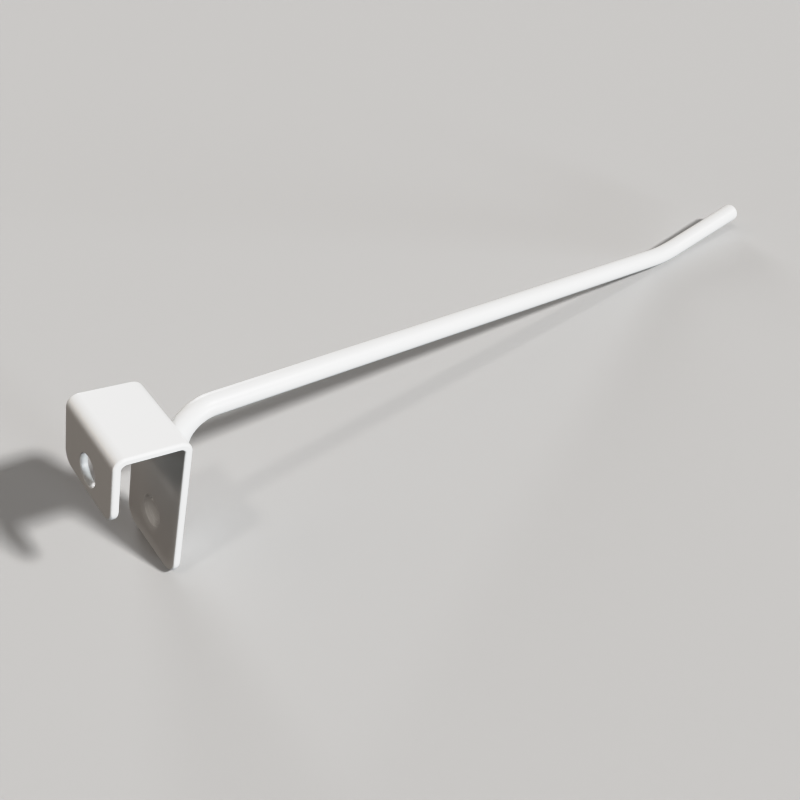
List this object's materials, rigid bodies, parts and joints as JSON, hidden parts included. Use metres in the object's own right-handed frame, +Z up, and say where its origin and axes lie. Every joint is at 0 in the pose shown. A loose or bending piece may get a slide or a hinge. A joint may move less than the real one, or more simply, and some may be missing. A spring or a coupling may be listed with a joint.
{
  "type": "square tube display hook",
  "caption": "Folded sheet saddle that drops over a square tube, with a round rod welded to its long front leg; the rod rises gently outwards and turns up at the tip to hold hanging goods.",
  "frame": {"origin": "middle of the seat, the underside of the saddle's top that rests on the tube", "axes": "X along the tube, +Y out from the tube along the rod, +Z up"},
  "size_m": [0.0264, 0.2447, 0.077],
  "materials": {
    "white_powder_coat": "white powder coat on steel, satin, with a fine orange-peel texture"
  },
  "bodies": {
    "root": {"saddle": "white_powder_coat", "hook_rod": "white_powder_coat", "plug_weld": "white_powder_coat"}
  },
  "joints": []
}
